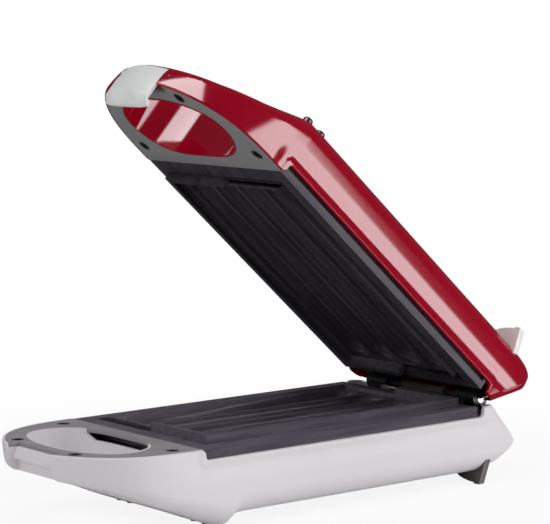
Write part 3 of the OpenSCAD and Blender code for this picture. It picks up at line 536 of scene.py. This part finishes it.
def column(kind, value, g, depth, rear, edge_r, extra):
    """x and y of one outline column at the levels g."""
    over = np.clip((g - EDGE_SHARE) / (1 - EDGE_SHARE), 0, 1)
    inset = extra + DRAFT * g * g + edge_r * (1 - np.sqrt(1 - over ** 2)) * depth / FULL_DEPTH
    if kind == "loop":
        return loop_point(value, inset)
    if kind == "side":
        return HALF_W - inset, np.full_like(inset, value)
    r = REAR_CORNER - extra
    back = REAR_RIM + REAR_BULGE * rear(g) - extra
    return HALF_W - inset - r * (1 - math.cos(value)), back - r * (1 - math.sin(value))


def column_points(kind, value, levels, line, rear, edge_r, extra, top):
    """Points of one column from the rim down. A core has a given top, and no dip, groove or rounded rim."""
    if kind == "loop":
        y0 = loop_point(value)[1]
    elif kind == "side":
        y0 = value
    else:
        y0 = REAR_RIM - extra - (REAR_CORNER - extra) * (1 - math.sin(value))
    depth = float(line(y0))
    if top is not None:
        z = top + levels * (depth - extra - top)
        x, y = column(kind, value, levels, depth, rear, edge_r, extra)
    else:
        rim = side_rim(float(y0))
        full = depth - extra - RIM_Z
        start = (rim - RIM_Z) / full
        g = start + (1 - start) * levels
        x, y = column(kind, value, g, depth, rear, edge_r, extra)
        z = RIM_Z + g * full
        x = np.maximum(x - groove(y0, z), 0)
        ring_in = extra + RIM_R * np.array([1, 0.3, 0.08])
        x_rim, y_rim = column(kind, value, np.full(3, start), depth, rear, edge_r, ring_in)
        z_rim = rim + RIM_R * np.array([0, 0.3, 0.65])
        z = np.concatenate([z_rim, np.maximum(z, rim + RIM_R)])
        x, y = np.concatenate([x_rim, x]), np.concatenate([np.broadcast_to(y_rim, 3), y])
    return np.column_stack([np.broadcast_to(x, z.shape), np.broadcast_to(y, z.shape), -z])


def close_end(ring, cols, row, arch, first_index, flip, strips=9):
    """Points and faces that close one end of the loft, arched upward in its middle by the given height."""
    n, rows = ring.shape[:2]
    y0, y1, y2, y3 = CROWN_Y
    new_points, index = [], {}
    for k in range(1, cols - 1):
        a, b = ring[k, row], ring[n - k, row]
        for j in range(1, strips):
            p = a + (b - a) * j / strips
            fade = max(0, min(1, (p[1] - y0) / (y1 - y0), (y3 - p[1]) / (y3 - y2)))
            index[k, j] = first_index + len(new_points)
            new_points.append(p - (0, 0, arch * math.sin(math.pi * j / strips) * fade))

    def at(k, j):
        if j in (0, strips):
            return (k if j == 0 else (n - k) % n) * rows + row
        return index[k, j]

    faces = [(at(k, j), at(k + 1, j), at(k + 1, j + 1), at(k, j + 1))
             for k in range(1, cols - 2) for j in range(strips)]
    tip = [at(0, 0)] + [at(1, j) for j in range(strips + 1)]
    tail = [at(cols - 2, j) for j in range(strips + 1)] + [at(cols - 1, strips), at(cols - 1, 0)]
    faces += [tip, tail[::-1]]
    return new_points, [f[::-1] for f in faces] if flip else faces


def shell_loft(line, rear, edge_r, extra=0.0, n_levels=26, crown=0.0, top=None):
    """Vertices and faces of the closed loft that a shell or its core is made of."""
    line, rear = softened(line, 3.0), softened(rear, 0.05)
    flat = [np.linspace(0, 0.38, n_levels, endpoint=False),
            np.linspace(0.38, 0.7, n_levels // 3, endpoint=False)]
    levels = np.concatenate(flat + [0.7 + 0.3 * np.sin(np.linspace(0, math.pi / 2, n_levels // 2 + 1))])
    half = np.array([column_points(kind, value, levels, line, rear, edge_r, extra, top)
                     for kind, value in perimeter()])
    cols, rows = half.shape[:2]
    half[0, :, 0] = 0
    ring = np.concatenate([half, half[:0:-1] * (-1, 1, 1)])    # right side, then the left one back to the tip
    n = len(ring)
    faces = [(k * rows + r, k * rows + r + 1, (k + 1) % n * rows + r + 1, (k + 1) % n * rows + r)
             for k in range(n) for r in range(rows - 1)]
    points = list(ring.reshape(-1, 3))
    for row, arch in ((0, 0.0), (rows - 1, crown)):
        new_points, new_faces = close_end(ring, cols, row, arch, len(points), row == 0)
        points += new_points
        faces += new_faces
    return np.array(points), faces


# ---------- mesh helpers ----------

def outward_normals(mesh):
    work = bmesh.new()
    work.from_mesh(mesh)
    bmesh.ops.recalc_face_normals(work, faces=work.faces)
    work.to_mesh(mesh)
    work.free()


def move_points(mesh, placing):
    points = np.array([v.co[:] for v in mesh.vertices])
    mesh.vertices.foreach_set("co", placing(points).ravel())


def new_object(name, points, faces):
    mesh = bpy.data.meshes.new(name)
    mesh.from_pydata([tuple(p) for p in points], [], faces)
    mesh.validate()
    outward_normals(mesh)
    thing = bpy.data.objects.new(name, mesh)
    bpy.context.scene.collection.objects.link(thing)
    return thing


def hole_outline(grow, count=60):
    """The D of the finger hole, grown outward: its rear half, then its front half."""
    rear_x, rear_y, front_y = HOLE_POWERS
    points = []
    for a in np.linspace(0, math.pi, count, endpoint=False):
        c, s = math.cos(a), math.sin(a)
        points.append((math.copysign(abs(c) ** rear_x, c) * (HOLE_W + grow),
                       -HOLE_Y + s ** rear_y * (HOLE_REAR + grow)))
    for a in np.linspace(math.pi, 2 * math.pi, count, endpoint=False):
        c, s = math.cos(a), max(-math.sin(a), 0)
        points.append((c * (HOLE_W + grow), -HOLE_Y - s ** front_y * (HOLE_FRONT + grow)))
    return points


def loop_outline(inset, y_end, count=70):
    """The handle loop's plan, closed straight across at y_end."""
    right = [loop_point(t, inset) for t in np.linspace(0, math.pi / 2, count)[:-1]]
    right = [p for p in right if p[1] < y_end]
    left = [(-x, y) for x, y in right[:0:-1]]
    return right + [(HALF_W - inset, y_end), (-(HALF_W - inset), y_end)] + left


def tube_faces(n, rows=2):
    """Faces of a closed tube through rows of n points each, with both ends shut."""
    faces = [tuple(range(n)), tuple(range((rows - 1) * n, rows * n))[::-1]]
    for k in range(0, (rows - 1) * n, n):
        faces += [(k + j, k + n + j, k + n + (j + 1) % n, k + (j + 1) % n) for j in range(n)]
    return faces


def prism(name, outline, z0, z1):
    return new_object(name, [(x, y, z) for z in (z0, z1) for x, y in outline], tube_faces(len(outline)))


def block(name, low, high):
    (x0, y0, z0), (x1, y1, z1) = low, high
    return prism(name, [(x0, y0), (x1, y0), (x1, y1), (x0, y1)], z0, z1)


def bar_along_x(name, outline_yz, x0, x1):
    return new_object(name, [(x, y, z) for x in (x0, x1) for y, z in outline_yz], tube_faces(len(outline_yz)))


def bar_along_y(name, outline_xz, y0, y1):
    return new_object(name, [(x, y, z) for y in (y0, y1) for x, z in outline_xz], tube_faces(len(outline_xz)))


def rod(name, centre, direction, r, half_length, sides=40):
    """A rod about its centre along a direction in the YZ plane."""
    along = Vector(direction).normalized()
    across = Vector((1, 0, 0))
    other = along.cross(across)
    ring = [across * (r * math.cos(a)) + other * (r * math.sin(a))
            for a in np.linspace(0, 2 * math.pi, sides, endpoint=False)]
    points = [tuple(Vector(centre) + p + along * s) for s in (-half_length, half_length) for p in ring]
    return new_object(name, points, tube_faces(sides))


def rod_along_x(name, y, z, r, x0, x1, sides=40):
    turns = np.linspace(0, 2 * math.pi, sides, endpoint=False)
    return bar_along_x(name, [(y + r * math.cos(a), z + r * math.sin(a)) for a in turns], x0, x1)


def apply_modifiers(thing):
    graph = bpy.context.evaluated_depsgraph_get()
    mesh = bpy.data.meshes.new_from_object(thing.evaluated_get(graph))
    thing.modifiers.clear()
    old = thing.data
    thing.data = mesh
    bpy.data.meshes.remove(old)


def combine(target, others, operation):
    """Joins or cuts the target with the others, one at a time, and removes them."""
    for other in others:
        step = target.modifiers.new("cut", "BOOLEAN")
        step.operation = operation
        step.object = other
        step.solver = "MANIFOLD"
        apply_modifiers(target)
    for other in others:
        bpy.data.objects.remove(other)


def bevelled(thing, width, segments=3, angle_deg=35):
    step = thing.modifiers.new("soft_edges", "BEVEL")
    step.width = width
    step.segments = segments
    step.limit_method = "ANGLE"
    step.angle_limit = math.radians(angle_deg)
    apply_modifiers(thing)


def finish_mesh(thing, placing, material, smooth_deg=32):
    """Places a working mesh in the row's frame, smooths its shading and gives it its material."""
    mesh = thing.data
    move_points(mesh, placing)
    outward_normals(mesh)
    for polygon in mesh.polygons:
        polygon.use_smooth = True
    mesh.set_sharp_from_angle(angle=math.radians(smooth_deg))
    mesh.materials.clear()
    mesh.materials.append(material)
    mesh.update()


def place_piece(thing, node, body, finishes, placing):
    """Finishes a piece that replaces a CAD node, with the node's slot and body."""
    slot = {part["node"]: part["material_slot"] for part in frame["record"]["subparts"]}[node]
    finish_mesh(thing, placing, (finishes.get(node) or finishes[slot]).material)
    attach(thing, body)
    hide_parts(node)


# ---------- shells ----------

def notch_cutter(kind):
    """The clip's notch in the lid's nose, or the hook's catch in the base's."""
    front = -REACH - 5
    if kind == "lid":
        half = CLIP_W / 2 + FIT
        return block("cut_notch", (-half, front, NOTCH_LOW), (half, PIVOT[0] + NOTCH_BACK, 8))
    outline = [(front, 8), (CATCH_Y + 3.3, 8), (CATCH_Y + 3.3, -0.2), (CATCH_Y, -6), (CATCH_Y, -CATCH_Z),
               (CATCH_Y + 2.8, -CATCH_Z), (CATCH_Y + 2.8, -30), (front, -30)]
    side = CLIP_W / 2 + 2
    return bar_along_x("cut_notch", outline, -side, side)


def fin_slot(side):
    """The leaned slot that holds one rear foot, drawn across X and up from the floor."""
    span = FIN_X1 - FIN_SOLE - FIN_X0
    outline = [(FIN_X0 - FIT, STAND_Z - FIN_TOP + FIT), (FIN_X1 + FIT, STAND_Z - FIN_TOP - 4 + FIT),
               (FIN_X1 + FIT, -5), (FIN_X1 - FIN_SOLE, -5)]
    outline += [(FIN_X1 - FIN_SOLE - span * math.sin(a) - FIT, FIN_RISE * (1 - math.cos(a)))
                for a in np.linspace(0, math.pi / 2, 7)]
    c, s = math.cos(FIN_UP), math.sin(FIN_UP)
    points = [(side * x, FIN_Y + h * c - t * s, -STAND_Z + h * s + t * c)
              for t in (-FIN_T / 2 - FIT, FIN_T / 2 + FIT) for x, h in outline]
    return new_object("fin_slot", points, tube_faces(len(outline)))


def hand_slot():
    """The slot in the wall behind the base's finger hole."""
    right = [(SLOT_X - 5, -TRIM_LOW - SLOT_H), (SLOT_X - 1.6, -TRIM_LOW - 0.4 * SLOT_H),
             (SLOT_X, -TRIM_LOW), (SLOT_X, 5.5)]
    outline = [(-x, z) for x, z in right[::-1]] + right
    middle = HOLE_REAR - HOLE_Y
    return bar_along_y("slot", outline, middle - 7, middle + 9)


def make_shell(name, kind, line, rear, edge_r, inset, crown):
    outer = new_object(name, *shell_loft(line, rear, edge_r, inset, crown=crown))
    core = new_object(name + "_core", *shell_loft(line, rear, edge_r, WALL, 12, top=CORE_TOP))
    solid = [prism("tube", hole_outline(HOLE_WALL), -60, 5),
             block("nose", (-NOSE_X, -REACH - 5, -60), (NOSE_X, NOSE_END, 10))]
    if kind == "base":
        solid.append(block("bridge", *FOOT_BRIDGE))
    combine(core, solid, "DIFFERENCE")
    bed = prism("bed", loop_outline(TRIM_IN, 0), -TRIM_LOW, 6)
    combine(bed, [prism("lip", hole_outline(HOLE_LIP), -8, 8)], "DIFFERENCE")
    plate_x = PLATE_W / 2 + FIT
    cuts = [block("plate_bed", (-plate_x, -FIT, -SKIRT), (plate_x, PLATE_L + FIT, 6.5)),
            prism("hole", hole_outline(0), -70, 7), notch_cutter(kind)]
    hinge_z = HINGE_Z if kind == "base" else -HINGE_Z
    for side in (-1, 1):
        cuts.append(rod_along_x("scallop", HINGE_Y, hinge_z, SCALLOP_R, *sorted(side * x for x in SCALLOP_X)))
        cuts.append(fin_slot(side))
    cuts.append(rod_along_x("wire_way", HINGE_Y, hinge_z, WIRE_WAY_R, -WIRE_WAY_X, WIRE_WAY_X))
    if kind == "base":
        square = GLAND_UP + math.pi / 2
        way = (0, math.sin(square), math.cos(square))
        cuts += [hand_slot(), block("foot_gap", *FOOT_GAP),
                 rod("gland_way", (0, GLAND_Y, -GLAND_Z), way, GLAND_R, 15)]
    else:
        cuts.append(rod_along_x("pin_way", PIVOT[0], -PIVOT[1], PIN_R, -21, 21))
        cuts += [rod("lens_way", (x, y, -35), (0, 0, 1), LENS_R, 8) for x, y in LENSES]
    combine(outer, [core, bed] + cuts, "DIFFERENCE")
    return outer


def make_shells(finishes):
    base = make_shell("lower_shell", "base", BASE_LINE, BASE_REAR, BASE_EDGE_R, 0, 0.0)
    place_piece(base, "base_housing", "base", finishes, to_base)
    lid = make_shell("upper_shell", "lid", LID_LINE, LID_REAR, LID_EDGE_R, LID_INSET, LID_CROWN)
    place_piece(lid, "lid_housing", "lid", finishes, to_lid)


# ---------- castings, trims and other eased pieces ----------

def cad_copy(node, name):
    """A welded copy of a CAD node's mesh, in millimetres."""
    mesh = frame["nodes"][node].data.copy()
    thing = bpy.data.objects.new(name, mesh)
    bpy.context.scene.collection.objects.link(thing)
    work = bmesh.new()
    work.from_mesh(mesh)
    for vertex in work.verts:
        vertex.co /= MM
    bmesh.ops.remove_doubles(work, verts=work.verts, dist=0.002)
    bmesh.ops.dissolve_limit(work, angle_limit=math.radians(0.6), verts=work.verts, edges=work.edges)
    work.to_mesh(mesh)
    work.free()
    return thing


def shrink(points):
    """Millimetres in the row's frame to its metres."""
    return np.asarray(points, float) * MM


def eased(node, name, body, finishes, width):
    """A CAD piece with its sharp edges rounded."""
    thing = cad_copy(node, name)
    bevelled(thing, width)
    place_piece(thing, node, body, finishes, shrink)


def placed(thing, placing):
    """Moves a working mesh to the row's frame, still in millimetres."""
    move_points(thing.data, lambda points: placing(points) / MM)
    outward_normals(thing.data)
    return thing


def to_lid_casting(points):
    """The upper casting is the lower one turned about Y."""
    return to_lid(np.asarray(points, float) * (-1, 1, 1))


def channel_outline():
    """Section of one fluted channel across X, by part.scad's formula, and on up past the parting plane."""
    half = []
    for a in np.radians(np.arange(0, 91, 6)):
        r = 1 - FLUTE_RISE * (1 - math.cos(2 * FLUTES * a)) / 2
        down = (CHANNEL_DEPTH - RIDGE_DROP) * r * math.cos(a)
        half.append((CHANNEL_R * r * math.sin(a), -RIDGE_DROP - down))
    return [(-x, z) for x, z in half[:0:-1]] + half + [(CHANNEL_R, 1.0), (-CHANNEL_R, 1.0)]


def make_casting(node, name, body, finishes, placing):
    """The CAD casting with soft edges, the low wall inside its groove and square channel ends behind it."""
    thing = cad_copy(node, name)
    side, front = CAV_X - LOW_WALL_GAP, CAV_Y0 + LOW_WALL_GAP
    low_corner = (-side, front, LOW_WALL_DOWN)
    walls = [block("low_wall", low_corner, (LOW_WALL_END, front + LOW_WALL_T, LOW_WALL_UP)),
             block("low_wall", low_corner, (-side + LOW_WALL_SIDE_T, CAV_Y1 - LOW_WALL_GAP, LOW_WALL_UP))]
    cuts = []
    for k in (-1.5, -0.5, 0.5, 1.5):
        start = CAV_Y0 + (CHANNEL_END_LOW if k < 0 else CHANNEL_END)
        across = [(x * CHANNEL_END_FIT + k * PITCH, z) for x, z in channel_outline()]
        cuts.append(bar_along_y("channel_end", across, start, CAV_Y0 + CHANNEL_R + 0.1))
    if body == "lid":
        x0, x1, y0, y1, z0, z1 = SKIRT_GAP
        cuts += [block("gap", (x0, y0, z0), (x1, y1, z1)), block("gap", (-x1, y0, z0), (-x0, y1, z1))]
    combine(thing, [placed(wall, placing) for wall in walls], "UNION")
    combine(thing, [placed(cut, placing) for cut in cuts], "DIFFERENCE")
    bevelled(thing, 0.3, 2)
    place_piece(thing, node, body, finishes, shrink)


def clip_form(x):
    """Closed (y, z) outline of the latch clip at x, from the top of its face down, z up in the closed lid."""
    inset = CLIP_INSET + REACH * (1 - max(1 - (abs(x) / HALF_W) ** 1.8, 0) ** (1 / 3))
    corner = 1 - CLIP_CORNER * (abs(x) / (CLIP_W / 2)) ** 6
    turn_z = CLIP_LOW + CLIP_CURL
    outer = []
    for z in np.linspace(CLIP_TOP, turn_z, 34):
        g = max(z, 0) / TIP_DEPTH
        over = max(g - EDGE_SHARE, 0) / (1 - EDGE_SHARE)
        edge = LID_EDGE_R * (1 - math.sqrt(1 - over ** 2)) * TIP_DEPTH / FULL_DEPTH
        outer.append((DRAFT * g ** 1.5 + edge, z))
    outer += [(CLIP_CURL * (1 - math.cos(a)), turn_z - CLIP_CURL * math.sin(a))
              for a in np.linspace(0.1, math.pi / 2, 14)]
    points = []
    for y, z in outer:
        face = y + inset
        if z < 0:
            # the thumb recess wins where it is the deeper, with a soft edge
            thumb = (THUMB_TOP - z) * math.tan(THUMB_TILT) - x * x / (2 * THUMB_R)
            face = 0.5 * (face + thumb + math.hypot(face - thumb, THUMB_SOFT))
            z *= corner
        points.append((-REACH + min(face, CLIP_DEEPEST), z))
    points += [(-REACH + CLIP_TIP - back, (CLIP_LOW + up) * corner) for back, up in ((1.0, 0.1), (0.3, 0.5))]
    points += [(-REACH + CLIP_TIP, CLIP_LOW + 1.4), (-REACH + CLIP_TIP, CLIP_LOW + 3.4)]
    return points + [(-REACH + CLIP_BACK, CLIP_LOW + 4.4), (-REACH + CLIP_BACK, CLIP_TOP)]


def make_clip(finishes):
    xs = CLIP_W / 2 * np.sin(np.linspace(-math.pi / 2, math.pi / 2, 41))
    sections = [[(x, y, -z) for y, z in clip_form(x)] for x in xs]
    points = [p for section in sections for p in section]
    clip = new_object("clip", points, tube_faces(len(sections[0]), len(xs)))
    combine(clip, [rod_along_x("barrel", PIVOT[0], -PIVOT[1], BARREL_R, -CLIP_W / 2, CLIP_W / 2)], "UNION")
    combine(clip, [rod_along_x("pin_way", PIVOT[0], -PIVOT[1], PIN_R, -18, 18)], "DIFFERENCE")
    bevelled(clip, 0.5, 3, 50)
    place_piece(clip, "latch_clip", "latch", finishes, to_lid)


def make_eased(finishes):
    eased("base_trim", "lower_trim", "base", finishes, 0.3)
    eased("lid_trim", "upper_trim", "lid", finishes, 0.3)
    eased("rear_feet", "leaning_feet", "base", finishes, 0.4)
    eased("lid_rests", "leaning_rests", "lid", finishes, 0.4)
    make_casting("lower_plate", "lower_casting", "base", finishes, to_base)
    make_casting("upper_plate", "upper_casting", "lid", finishes, to_lid_casting)
    make_clip(finishes)


FINISHES = make_finishes()
make_camera()
make_studio()
dress_nodes(FINISHES)
make_shells(FINISHES)
make_eased(FINISHES)
